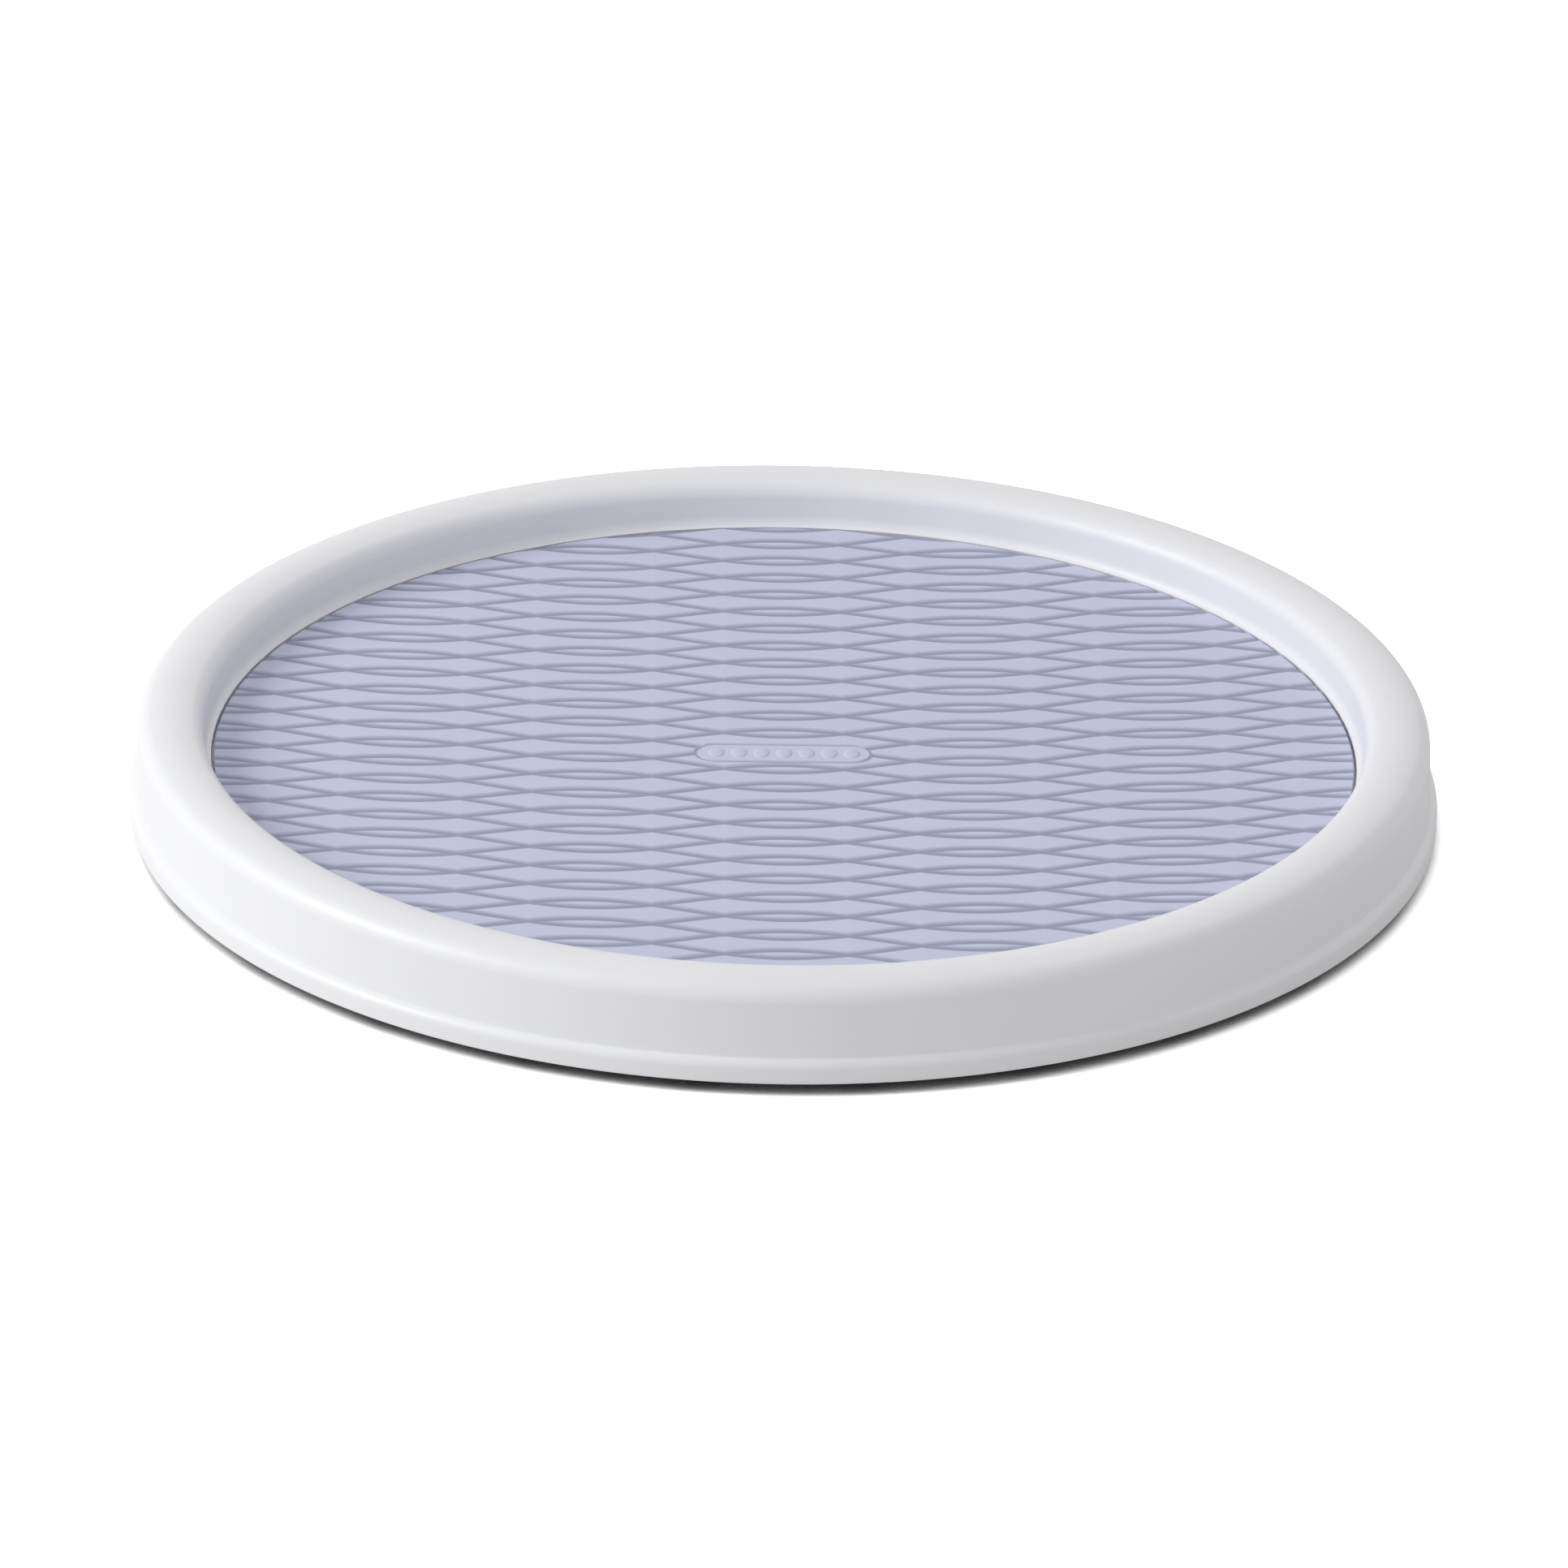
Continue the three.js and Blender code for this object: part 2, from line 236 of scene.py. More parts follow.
def close_tree(tree, geometry, given):
    """Ends a geometry tree in Realize Instances and Set Material."""
    real = add(tree, "GeometryNodeRealizeInstances", {"Geometry": geometry}).outputs[0]
    painted = add(tree, "GeometryNodeSetMaterial", {"Geometry": real, "Material": given["Material"]})
    add(tree, "NodeGroupOutput", {"Geometry": painted.outputs[0]})
    return tree


def grown(piece, tree, sizes):
    """Runs a geometry tree on a piece and keeps the result as its plain mesh."""
    modifier = piece.modifiers.new(tree.name, "NODES")
    modifier.node_group = tree
    for socket in tree.interface.items_tree:
        if socket.in_out == "INPUT" and socket.name in sizes:
            modifier[socket.identifier] = sizes[socket.name]
    evaluated = piece.evaluated_get(bpy.context.evaluated_depsgraph_get())
    mesh = bpy.data.meshes.new_from_object(evaluated)
    piece.modifiers.remove(modifier)
    piece.data = mesh
    mesh.materials.clear()
    mesh.materials.append(sizes["Material"])
    mesh.polygons.foreach_set("material_index", [0] * len(mesh.polygons))
    shaded(mesh)
    print(piece.name, tree.name, len(mesh.polygons), "faces")
    return piece


TO_MILLIMETRES = (1 / MM, 1 / MM, 1 / MM)
TO_METRES = (MM, MM, MM)


def moved(tree, geometry, **places):
    """The Transform Geometry node, with Translation, Rotation or Scale."""
    return add(tree, "GeometryNodeTransform", {"Geometry": geometry, **places}).outputs[0]


def round_the_axis(tree, given, placed):
    """Copies of one placed shape, turned round the axis."""
    points = add(tree, "GeometryNodePoints", {"Count": given["Count"]}).outputs[0]
    number = add(tree, "GeometryNodeInputIndex").outputs[0]
    step = maths(tree, "DIVIDE", tau, given["Count"])
    turn = maths(tree, "MULTIPLY_ADD", number, step, maths(tree, "RADIANS", given["First angle"]))
    spread = {"Points": points, "Instance": placed, "Rotation": vector(tree, z=turn)}
    copies = add(tree, "GeometryNodeInstanceOnPoints", spread).outputs[0]
    return add(tree, "GeometryNodeRealizeInstances", {"Geometry": copies}).outputs[0]


def boolean(tree, operation, whole, part):
    """Joins or cuts closed meshes with the manifold solver."""
    made = add(tree, "GeometryNodeMeshBoolean", operation=operation, solver="MANIFOLD")
    if operation == "DIFFERENCE":
        tree.links.new(whole, made.inputs["Mesh 1"])
        tree.links.new(part, made.inputs["Mesh 2"])
    else:
        tree.links.new(part, made.inputs["Mesh 2"])
        tree.links.new(whole, made.inputs["Mesh 2"])
    return made.outputs["Mesh"]


# %% [markdown]
# ## Finishes: shared effects
#
# Four effects serve the finishes, each a node group with named sockets. Grain is the fine
# texture of a spark-eroded mould. Mottle is a slow change of tone, such as handling
# leaves. Settled dust is a mask that is strongest where a surface faces up. The fourth is
# painted shade: a mask that grows with the depth under a level surface, so that the floor
# of a groove is painted darker.


# %% Effect groups
def effect(name, sizes, results):
    group = bpy.data.node_groups.new(name, "ShaderNodeTree")
    for label, value in sizes.items():
        socket = group.interface.new_socket(label, in_out="INPUT", socket_type="NodeSocketFloat")
        socket.default_value = value
    for label in results:
        group.interface.new_socket(label, in_out="OUTPUT", socket_type="NodeSocketFloat")
    given = add(group, "NodeGroupInput").outputs
    place = add(group, "ShaderNodeTexCoord").outputs["Object"]
    return group, given, place


def make_grain():
    group, given, place = effect("grain", {"Cells per metre": 2500.0}, ["Height"])
    scale = given["Cells per metre"]
    rough = {"Vector": place, "Scale": scale, "Detail": 3.0, "Roughness": 0.6}
    fine = add(group, "ShaderNodeTexNoise", rough)
    pits = add(group, "ShaderNodeTexVoronoi", {"Vector": place, "Scale": scale}, feature="SMOOTH_F1")
    height = maths(group, "MULTIPLY_ADD", pits.outputs["Distance"], 0.4, fine.outputs["Fac"])
    add(group, "NodeGroupOutput", {"Height": height})
    return group


def make_mottle():
    sizes = {"Patches per metre": 12.0, "Low": 0.0, "High": 1.0}
    group, given, place = effect("mottle", sizes, ["Value"])
    soft = {"Vector": place, "Scale": given["Patches per metre"], "Detail": 4.0, "Roughness": 0.55}
    cloud = add(group, "ShaderNodeTexNoise", soft).outputs["Fac"]
    spread = {"From Min": 0.32, "From Max": 0.68, "To Min": given["Low"], "To Max": given["High"]}
    value = add(group, "ShaderNodeMapRange", {"Value": cloud, **spread}).outputs["Result"]
    add(group, "NodeGroupOutput", {"Value": value})
    return group


def make_dust():
    sizes = {"Specks per metre": 900.0, "Amount": 0.2}
    group, given, place = effect("settled dust", sizes, ["Mask"])

    def between(value, low, high):
        span = {"Value": value, "From Min": low, "From Max": high}
        return add(group, "ShaderNodeMapRange", span).outputs["Result"]

    normal = add(group, "ShaderNodeNewGeometry").outputs["Normal"]
    upward = add(group, "ShaderNodeSeparateXYZ", {0: normal}).outputs["Z"]
    noise = {"Vector": place, "Scale": given["Specks per metre"], "Detail": 2.0}
    specks = add(group, "ShaderNodeTexNoise", noise).outputs["Fac"]
    mask = maths(group, "MULTIPLY", between(upward, 0.55, 0.98), between(specks, 0.55, 0.75))
    add(group, "NodeGroupOutput", {"Mask": maths(group, "MULTIPLY", mask, given["Amount"])})
    return group


def make_painted_groove_shade():
    """Painted shade: a mask that grows with the depth under the level face. Surface is the
    height of the level face, in mm, and so is the depth.
    """
    sizes = {"Surface": 10.0, "Full depth": 0.5}
    group, given, place = effect("painted shade in grooves", sizes, ["Mask"])
    height = maths(group, "DIVIDE", add(group, "ShaderNodeSeparateXYZ", {0: place}).outputs["Z"], MM)
    depth = maths(group, "SUBTRACT", given["Surface"], height)
    share = maths(group, "DIVIDE", depth, given["Full depth"])
    share = add(group, "ShaderNodeClamp", {"Value": share}).outputs[0]
    add(group, "NodeGroupOutput", {"Mask": share})
    return group


GRAIN, MOTTLE, DUST, GROOVE_SHADE = make_grain(), make_mottle(), make_dust(), make_painted_groove_shade()

# %% [markdown]
# ## Finishes: the materials
#
# Every finish is a Principled shader with the same three things laid over it in different
# amounts: a colour that drifts a little, a roughness that drifts with it, and a bump from
# the grain. What is the same all over a surface is set on the shader itself.


# %% Building a finish
DUST_TONE = (0.64, 0.64, 0.65)
GLOSS_IS_FINER = 7


def use(tree, group, values):
    made = add(tree, "ShaderNodeGroup", node_tree=group)
    for label, value in values.items():
        made.inputs[label].default_value = value
    return made.outputs


def blended(tree, mask, under, over):
    """Two colours mixed by a mask. Each is a tone or the output of another mix."""
    made = add(tree, "ShaderNodeMix", {"Factor": mask}, data_type="RGBA")
    for socket, colour in ((made.inputs[6], under), (made.inputs[7], over)):
        if isinstance(colour, bpy.types.NodeSocket):
            tree.links.new(colour, socket)
        else:
            socket.default_value = (*colour, 1)
    return made.outputs[2]


def finish(name, colour, drift, rough, grain, mottle=12.0, dust=0.0, painted_groove_shade=None, **fixed):
    """A material. colour and drift are the two tones that the mottle runs between,
    rough its lowest and highest roughness, grain is (cells per metre, depth in mm), and the
    last argument, when given, is (height of the surface in mm, full depth in mm, tone) of a
    painted shade that darkens the surface with its depth under that height."""
    material = bpy.data.materials.new(name)
    material.use_nodes = True
    tree = material.node_tree
    shader = tree.nodes["Principled BSDF"]
    tone = use(tree, MOTTLE, {"Patches per metre": mottle})["Value"]
    base = blended(tree, tone, colour, drift)
    if dust:
        base = blended(tree, use(tree, DUST, {"Amount": dust})["Mask"], base, DUST_TONE)
    # Painted shade: the colour is darkened towards the tone with the depth under the surface, in the
    # grooves.
    if painted_groove_shade:
        surface, full_depth, dark = painted_groove_shade
        mask = use(tree, GROOVE_SHADE, {"Surface": surface, "Full depth": full_depth})["Mask"]
        base = blended(tree, mask, base, dark)
    tree.links.new(base, shader.inputs["Base Color"])
    fine = {"Patches per metre": mottle * GLOSS_IS_FINER, "Low": rough[0], "High": rough[1]}
    tree.links.new(use(tree, MOTTLE, fine)["Value"], shader.inputs["Roughness"])
    height = use(tree, GRAIN, {"Cells per metre": grain[0]})["Height"]
    bump = add(tree, "ShaderNodeBump", {"Height": height, "Strength": 1.0, "Distance": grain[1] * MM})
    tree.links.new(bump.outputs["Normal"], shader.inputs["Normal"])
    for label, value in fixed.items():
        shader.inputs[label.replace("_", " ")].default_value = value
    return material


WHITE_PLASTIC = finish(
    "white moulded plastic",
    (0.85, 0.855, 0.885),
    (0.83, 0.835, 0.865),
    (0.36, 0.46),
    (1600, 0.012),
    dust=0.04,
    IOR=1.49,
)
LAVENDER_MAT = finish(
    "lavender soft mat",
    (0.595, 0.625, 0.785),
    (0.62, 0.635, 0.805),
    (0.62, 0.78),
    (3200, 0.03),
    mottle=9,
    dust=0.08,
    # painted shade that darkens the floors of the mat's grooves
    painted_groove_shade=(MAT_TOP - 0.03, 0.4, (0.33, 0.355, 0.47)),
    IOR=1.45,
)
BRIGHT_STEEL = finish(
    "ground steel",
    (0.72, 0.73, 0.75),
    (0.66, 0.67, 0.69),
    (0.12, 0.24),
    (5200, 0.002),
    mottle=60,
    Metallic=1.0,
)
ACETAL = finish(
    "natural acetal", (0.80, 0.78, 0.72), (0.77, 0.75, 0.69), (0.3, 0.4), (2200, 0.008), IOR=1.48
)
CAGE_PLASTIC = finish(
    "cage polypropylene", (0.68, 0.69, 0.70), (0.64, 0.65, 0.66), (0.36, 0.5), (1800, 0.01)
)
FOOT_RUBBER = finish(
    "grey foot rubber",
    (0.30, 0.31, 0.35),
    (0.26, 0.27, 0.31),
    (0.7, 0.88),
    (2600, 0.05),
    mottle=40,
    dust=0.3,
)
made_here = (WHITE_PLASTIC, LAVENDER_MAT, BRIGHT_STEEL, ACETAL, CAGE_PLASTIC, FOOT_RUBBER)
print("finishes:", [material.name for material in made_here])

# %% [markdown]
# ## The tray: shell
#
# The tray is one injection moulding. All its walls are about as thick as each other, so
# that it cools evenly: the raised rim is hollow underneath, an upside-down channel between
# the well's wall and the outer skirt. The skirt leans out a little, for the mould to let
# go, and ends in a small stepped lip with a rounded bead. A closed outline turned round
# the axis gives all of that, with real rounds at the crest, the lip and the foot of the
# well's wall. Pieces that lie against each other have 0.3 mm of air between them.

# %% The tray's sizes
AIR = 0.3
CHAMFER = 0.3
SHELL = 2.2
TRAY_FLOOR = MAT_BOTTOM - AIR
TRAY_UNDERSIDE = TRAY_FLOOR - SHELL
LIP_BOTTOM = 3.0
LIP_SHOULDER = 6.4
BEAD = 2.4
BEAD_TOP = 68
STEP_RADIUS = LIP_RADIUS - 1.6
STEP_HEIGHT = 9.5
SHOULDER_RADIUS = LIP_RADIUS - 2.1
OUTER_ROUND = 4.4
INNER_ROUND = 4.0
CROWN_RADIUS = 15.0
CROWN_MIDDLE = LIP_RADIUS - 9.85
OUTER_RADIUS = SHOULDER_RADIUS - OUTER_ROUND
INNER_RADIUS = LIP_RADIUS - 13.2
WELL_FILLET = (MAT_RADIUS + 0.6, MAT_TOP + 2.6, 1.6)
FILLET_TALL = 2.8
RECESS_EDGE = 0.25

BALL_RADIUS = 3.0
RACE_RADIUS = 100.0
BALL_CENTRE = 6.7
GROOVE_RADIUS = 3.4
RACE_HALF_WIDTH = 6.0
UPPER_RACE = 9.4

BOSS_RADIUS = 7.0
BOSS_BOTTOM = top_of("retaining_washer") + AIR
THRUST_RING = (12.0, 10.5)
SCREW_BORE = (1.95, 10.3)
print("tray floor at", round(TRAY_FLOOR, 2), "boss down to", round(BOSS_BOTTOM, 2))


# %% The tray's outline
def race_groove(flat, top_side):
    """The groove of a ball race, between the two points where it meets its flat."""
    reach = BALL_RADIUS + AIR - GROOVE_RADIUS
    centre = BALL_CENTRE + reach if top_side else BALL_CENTRE - reach
    half = acos(abs(flat - centre) / GROOVE_RADIUS) * 180 / pi
    middle = 90 if top_side else 270
    return arc(RACE_RADIUS, centre, GROOVE_RADIUS, middle + half, middle - half, 10)


def under_the_crown(reach, round_radius):
    """Where a round that is tangent to the crown has its centre height, and the angle in
    degrees at which the two meet."""
    inside = CROWN_RADIUS - round_radius
    angle = acos(abs(reach - CROWN_MIDDLE) / inside)
    return CREST_TOP - CROWN_RADIUS + inside * sin(angle), angle * 180 / pi


def tray_outline():
    lip_inside = LIP_RADIUS - SHELL
    inside_foot = WELL_FILLET[0] + WELL_FILLET[2] + SHELL
    race_in, race_out = RACE_RADIUS - RACE_HALF_WIDTH, RACE_RADIUS + RACE_HALF_WIDTH
    outer_height, outer_angle = under_the_crown(OUTER_RADIUS, OUTER_ROUND)
    inner_height, inner_angle = under_the_crown(INNER_RADIUS, INNER_ROUND)
    crown = (CROWN_MIDDLE, CREST_TOP - CROWN_RADIUS, CROWN_RADIUS)
    return [
        (0, SCREW_BORE[1]),
        (SCREW_BORE[0], SCREW_BORE[1]),
        (SCREW_BORE[0], BOSS_BOTTOM + CHAMFER),
        (SCREW_BORE[0] + CHAMFER, BOSS_BOTTOM),
        *corner("outer foot", BOSS_RADIUS, BOSS_BOTTOM, 0.4),
        (BOSS_RADIUS, THRUST_RING[1]),
        (THRUST_RING[0], THRUST_RING[1]),
        (THRUST_RING[0], TRAY_UNDERSIDE),
        (race_in, TRAY_UNDERSIDE),
        *corner("inner foot", race_in, UPPER_RACE, 0.3),
        *race_groove(UPPER_RACE, True),
        *corner("outer foot", race_out, UPPER_RACE, 0.3),
        (race_out, TRAY_UNDERSIDE),
        *corner("outer foot", inside_foot, TRAY_UNDERSIDE, 0.6, 5),
        *arc(INNER_RADIUS, inner_height, INNER_ROUND - SHELL, 180, 90, 8),
        *arc(OUTER_RADIUS, outer_height, OUTER_ROUND - SHELL, 90, 0, 8),
        (STEP_RADIUS - SHELL, STEP_HEIGHT + 0.3),
        (lip_inside, LIP_SHOULDER),
        (lip_inside, LIP_BOTTOM + 0.4),
        *corner("inner foot", lip_inside, LIP_BOTTOM, 0.4, 5)[1:],
        *corner("outer foot", LIP_RADIUS, LIP_BOTTOM, 0.25, 5),
        *arc(LIP_RADIUS - BEAD, LIP_SHOULDER, BEAD, 0, BEAD_TOP, 12),
        (STEP_RADIUS + 0.02, STEP_HEIGHT - 0.7),
        (STEP_RADIUS, STEP_HEIGHT - 0.5),
        *arc(OUTER_RADIUS, outer_height, OUTER_ROUND, 0, outer_angle, 14),
        *arc(*crown, outer_angle, 180 - inner_angle, 8)[1:-1],
        *arc(INNER_RADIUS, inner_height, INNER_ROUND, 180 - inner_angle, 180, 14),
        *arc(*WELL_FILLET, 0, -90, 12, FILLET_TALL),
        (WELL_FILLET[0] + RECESS_EDGE * 0.3, MAT_TOP - 0.2 - RECESS_EDGE),
        (WELL_FILLET[0], TRAY_FLOOR),
        (0, TRAY_FLOOR),
    ]


tray = revolve("tray_shell", tray_outline())
print("tray outline:", len(tray_outline()), "points,", len(tray.data.polygons), "faces")

# %% [markdown]
# ## The tray: ribs
#
# Thin ribs under the floor and small gussets inside the hollow rim stop a wide thin
# moulding from drooping. Each set is one rib repeated round the axis, which is what
# Geometry Nodes do best: a cube is stretched to the rib's size, placed on a point for
# each rib, turned to face outwards and joined to the shell. The manifold solver makes one
# closed skin of them, where loose boxes would leave faces hidden inside the plastic. The
# inner ribs stop short of the hub, so that they clear the bushing's flange.

# %% Rib tree
RIB_SIZES = {
    "Count": 12,
    "Inner": 10.0,
    "Outer": 20.0,
    "Bottom": 0.0,
    "Top": 1.0,
    "Thickness": 1.2,
    "First angle": 0.0,
}


def make_rib_tree():
    tree, given = geometry_tree("radial ribs", RIB_SIZES)

    def metres(value):
        return maths(tree, "MULTIPLY", value, MM)

    length = metres(maths(tree, "SUBTRACT", given["Outer"], given["Inner"]))
    height = metres(maths(tree, "SUBTRACT", given["Top"], given["Bottom"]))
    size = vector(tree, length, metres(given["Thickness"]), height)
    block = add(tree, "GeometryNodeMeshCube", {"Size": size}).outputs["Mesh"]
    both_ends = maths(tree, "ADD", given["Inner"], given["Outer"])
    middle = metres(maths(tree, "MULTIPLY", both_ends, 0.5))
    both_levels = maths(tree, "ADD", given["Bottom"], given["Top"])
    level = metres(maths(tree, "MULTIPLY", both_levels, 0.5))
    placed = moved(tree, block, Translation=vector(tree, middle, 0.0, level))
    ribs = round_the_axis(tree, given, placed)
    joined = boolean(tree, "UNION", given["Geometry"], ribs)
    return close_tree(tree, joined, given)


RIB_TREE = make_rib_tree()


def ribbed(piece, material, count, inner, outer, bottom, top, thickness, first=0.0):
    sizes = dict(zip(RIB_SIZES, (count, inner, outer, bottom, top, thickness, first)))
    return grown(piece, RIB_TREE, {**sizes, "Material": material})


# %% [markdown]
# ## The last steps for every piece
#
# A finished piece gets its finish and is attached to the body that it moves with, and the
# CAD node that it stands for is hidden and stays behind it for collisions. One function
# does all of this for every piece.


# %% Finish, node and body
def finished(piece, material, node, body):
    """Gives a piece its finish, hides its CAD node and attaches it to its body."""
    if material.name not in piece.data.materials:
        piece.data.materials.append(material)
    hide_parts(node)
    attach(piece, body)


# %% The tray's three sets of ribs
ROOTED = 0.4
RIB_ROOT = TRAY_UNDERSIDE + ROOTED
RIB_FIRST = 15.0
ribbed(tray, WHITE_PLASTIC, 12, 11.9, 94.6, 9.7, RIB_ROOT, 1.2, RIB_FIRST)
ribbed(tray, WHITE_PLASTIC, 24, 105.2, 135.6, 9.9, RIB_ROOT, 1.2)
ribbed(tray, WHITE_PLASTIC, 24, 136.2, 149.0, 14.5, 24.0, 1.2)
finished(tray, WHITE_PLASTIC, "tray", "tray")

# %% [markdown]
# ## The mat
#
# The mat is a disc of soft rubber, moulded with shallow grooves for grip. The grooves are
# long waves in two families. One family rises where the other falls, so that neighbours
# cross and leave narrow eye shapes between them. A bump map could draw the lines, but real
# grooves catch the low light and stay true from any side. Geometry Nodes sweep a
# bell-shaped section along every wave, and the disc is cut with one family at a time,
# because waves of one family never touch. A plain capsule-shaped badge with a row of round
# studs fills the centre, and the waves stop at it.

# %% Wave family tree
MAT_SIZES = {
    "Rows": 28,
    "Pitch": 5.06,
    "Wavelength": 89.0,
    "Amplitude": 4.57,
    "Bow": 0.000314,
    "Shift": -0.9,
    "Turn": 0.8,
    "Groove width": 4.2,
    "Groove depth": 0.5,
    "Groove sharpness": 6.0,
    "Surface": 15.2,
    "Reach": 134.0,
    "Badge length": 41.0,
    "Badge width": 9.6,
    "Rail radius": 0.8,
    "Rail depth": 0.35,
    "Studs": 7,
    "Stud length": 1.9,
    "Stud width": 2.7,
    "Stud height": 0.4,
}
WAVE_POINTS = 140
OVERLAP = 0.02
ABOVE = 3.0


def bell_section(tree, given):
    """The groove's cutter: a circle with one half pulled into a bell, so that the groove
    starts softly at both sides and is deepest along its middle. In a sweep, the section's
    own Y points down."""
    start = {"Resolution": 18, "Radius": 1.0}
    circle = add(tree, "GeometryNodeCurvePrimitiveCircle", start).outputs["Curve"]
    here = add(tree, "GeometryNodeInputPosition").outputs[0]
    place = add(tree, "ShaderNodeSeparateXYZ", {0: here}).outputs
    bell = maths(tree, "POWER", maths(tree, "MAXIMUM", place["Y"], 0.0), given["Groove sharpness"])
    dip = maths(tree, "MULTIPLY", bell, maths(tree, "ADD", given["Groove depth"], OVERLAP))
    lifted = maths(tree, "SUBTRACT", maths(tree, "MINIMUM", place["Y"], 0.0), OVERLAP)
    across = maths(tree, "MULTIPLY", place["X"], maths(tree, "MULTIPLY", given["Groove width"], 0.5))
    shaped = {"Geometry": circle, "Position": vector(tree, across, maths(tree, "ADD", lifted, dip))}
    return add(tree, "GeometryNodeSetPosition", shaped).outputs[0]


def wave_family(tree, given, side):
    """Swept cutters for every second wave: side is 1 for the waves that rise in the
    middle, and -1 for those between them, that fall there."""
    reach = given["Reach"]
    ends = {"Start": vector(tree, maths(tree, "MULTIPLY", reach, -1.0)), "End": vector(tree, reach)}
    line = add(tree, "GeometryNodeCurvePrimitiveLine", ends).outputs[0]
    fine = add(tree, "GeometryNodeResampleCurve", {"Curve": line, "Count": WAVE_POINTS}).outputs[0]
    number = add(tree, "GeometryNodeInputIndex").outputs[0]
    row = maths(tree, "SUBTRACT", number, maths(tree, "MULTIPLY", given["Rows"], 0.5))
    row = maths(tree, "ADD", row, 0.5 if side < 0 else 0.0)
    across = maths(tree, "MULTIPLY", row, maths(tree, "MULTIPLY", given["Pitch"], 2.0))
    spots = {"Count": given["Rows"], "Position": vector(tree, 0.0, across)}
    points = add(tree, "GeometryNodePoints", spots).outputs[0]
    rows = add(tree, "GeometryNodeInstanceOnPoints", {"Points": points, "Instance": fine}).outputs[0]
    straight = add(tree, "GeometryNodeRealizeInstances", {"Geometry": rows}).outputs[0]
    here = add(tree, "GeometryNodeInputPosition").outputs[0]
    along = add(tree, "ShaderNodeSeparateXYZ", {0: here}).outputs["X"]
    angle = maths(tree, "MULTIPLY", maths(tree, "DIVIDE", along, given["Wavelength"]), tau)
    swing = maths(tree, "MULTIPLY", given["Amplitude"], side)
    wave = maths(tree, "MULTIPLY", maths(tree, "COSINE", angle), swing)
    bow = maths(tree, "MULTIPLY", maths(tree, "MULTIPLY", along, along), given["Bow"])
    sideways = maths(tree, "ADD", maths(tree, "ADD", wave, bow), given["Shift"])
    swung = {"Geometry": straight, "Offset": vector(tree, 0.0, sideways, given["Surface"])}
    waved = add(tree, "GeometryNodeSetPosition", swung).outputs[0]
    upright = add(tree, "GeometryNodeSetCurveNormal", {"Curve": waved}, mode="Z_UP").outputs[0]
    sweep = {"Curve": upright, "Profile Curve": bell_section(tree, given), "Fill Caps": True}
    return add(tree, "GeometryNodeCurveToMesh", sweep).outputs[0]


# %% Badge, studs and the whole mat tree
def capsule(tree, given):
    """A closed capsule-shaped curve, as long and wide as the badge."""
    sides = {"Width": given["Badge length"], "Height": given["Badge width"]}
    box = add(tree, "GeometryNodeCurvePrimitiveQuadrilateral", sides).outputs[0]
    radius = maths(tree, "MULTIPLY", given["Badge width"], 0.498)
    corners = {"Curve": box, "Radius": radius, "Count": 16, "Limit Radius": True}
    return add(tree, "GeometryNodeFilletCurve", corners, mode="POLY").outputs[0]


def badge_tools(tree, given):
    """A block that keeps the waves out of the badge, and the cutter for its rail."""
    outline = capsule(tree, given)
    low = maths(tree, "SUBTRACT", given["Surface"], ABOVE)
    high = maths(tree, "ADD", given["Surface"], ABOVE)
    ends = {"Start": vector(tree, z=low), "End": vector(tree, z=high)}
    upright = add(tree, "GeometryNodeCurvePrimitiveLine", ends).outputs[0]
    sweep = {"Curve": upright, "Profile Curve": outline, "Fill Caps": True}
    block = add(tree, "GeometryNodeCurveToMesh", sweep).outputs[0]
    over = maths(tree, "SUBTRACT", given["Rail radius"], given["Rail depth"])
    level = vector(tree, z=maths(tree, "ADD", given["Surface"], over))
    path = moved(tree, outline, Translation=level)
    section = {"Resolution": 14, "Radius": given["Rail radius"]}
    circle = add(tree, "GeometryNodeCurvePrimitiveCircle", section).outputs["Curve"]
    sweep = {"Curve": path, "Profile Curve": circle}
    return block, add(tree, "GeometryNodeCurveToMesh", sweep).outputs[0]


def stud_row(tree, given):
    number = add(tree, "GeometryNodeInputIndex").outputs[0]
    last = maths(tree, "SUBTRACT", given["Studs"], 1.0)
    place = maths(tree, "SUBTRACT", number, maths(tree, "MULTIPLY", last, 0.5))
    gap = maths(tree, "DIVIDE", given["Badge length"], maths(tree, "ADD", given["Studs"], 0.8))
    centre = vector(tree, maths(tree, "MULTIPLY", place, gap), 0.0, given["Surface"])
    spots = add(tree, "GeometryNodePoints", {"Count": given["Studs"], "Position": centre}).outputs[0]
    ball = {"Segments": 28, "Rings": 14, "Radius": 1.0}
    dome = add(tree, "GeometryNodeMeshUVSphere", ball).outputs["Mesh"]
    size = vector(tree, given["Stud length"], given["Stud width"], given["Stud height"])
    studs = {"Points": spots, "Instance": dome, "Scale": size}
    row = add(tree, "GeometryNodeInstanceOnPoints", studs).outputs[0]
    return add(tree, "GeometryNodeRealizeInstances", {"Geometry": row}).outputs[0]


def make_mat_tree():
    """Cuts the waves and the rail, and adds the studs. The tree works in millimetres."""
    tree, given = geometry_tree("waves and badge", MAT_SIZES)
    solid = moved(tree, given["Geometry"], Scale=TO_MILLIMETRES)
    block, rail = badge_tools(tree, given)
    for side in (1, -1):
        waves = boolean(tree, "DIFFERENCE", wave_family(tree, given, side), block)
        solid = boolean(tree, "DIFFERENCE", solid, waves)
    solid = boolean(tree, "DIFFERENCE", solid, rail)
    solid = boolean(tree, "UNION", solid, stud_row(tree, given))
    turn = vector(tree, z=maths(tree, "RADIANS", given["Turn"]))
    return close_tree(tree, moved(tree, solid, Rotation=turn, Scale=TO_METRES), given)


MAT_TREE = make_mat_tree()

